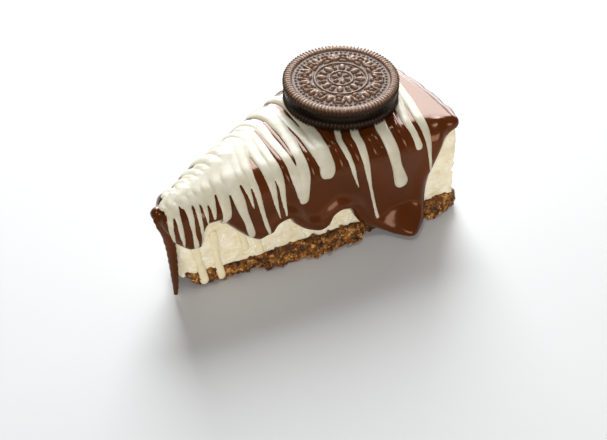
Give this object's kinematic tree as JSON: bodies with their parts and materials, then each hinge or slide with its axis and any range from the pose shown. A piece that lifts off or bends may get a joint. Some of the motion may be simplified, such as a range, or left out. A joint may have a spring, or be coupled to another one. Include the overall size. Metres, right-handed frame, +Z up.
{
  "type": "cookies and cream cheesecake slice",
  "caption": "Wedge of cream cheese cake on a crumb crust, run with milk chocolate glaze and white drizzle, with a cream-filled cocoa sandwich biscuit lying on top.",
  "frame": {"origin": "middle of the slice's box, on the level that its crust stands on", "axes": "+X from the pointed tip to the cake's outer rim, +Y towards the far cut side, +Z up"},
  "size_m": [0.127, 0.078, 0.0547],
  "materials": {
    "baked_crumb_crust": "coarse matt crumb",
    "cream_cheese_filling": "soft matt cut face",
    "milk_chocolate_glaze": "wet gloss",
    "white_drizzle": "soft gloss",
    "cocoa_wafer": "embossed matt",
    "biscuit_cream": "soft matt"
  },
  "bodies": {
    "root": {"crust": "baked_crumb_crust", "filling": "cream_cheese_filling", "topping": "milk_chocolate_glaze", "biscuit_lower_wafer": "cocoa_wafer", "biscuit_cream": "biscuit_cream", "biscuit_upper_wafer": "cocoa_wafer"}
  },
  "joints": []
}
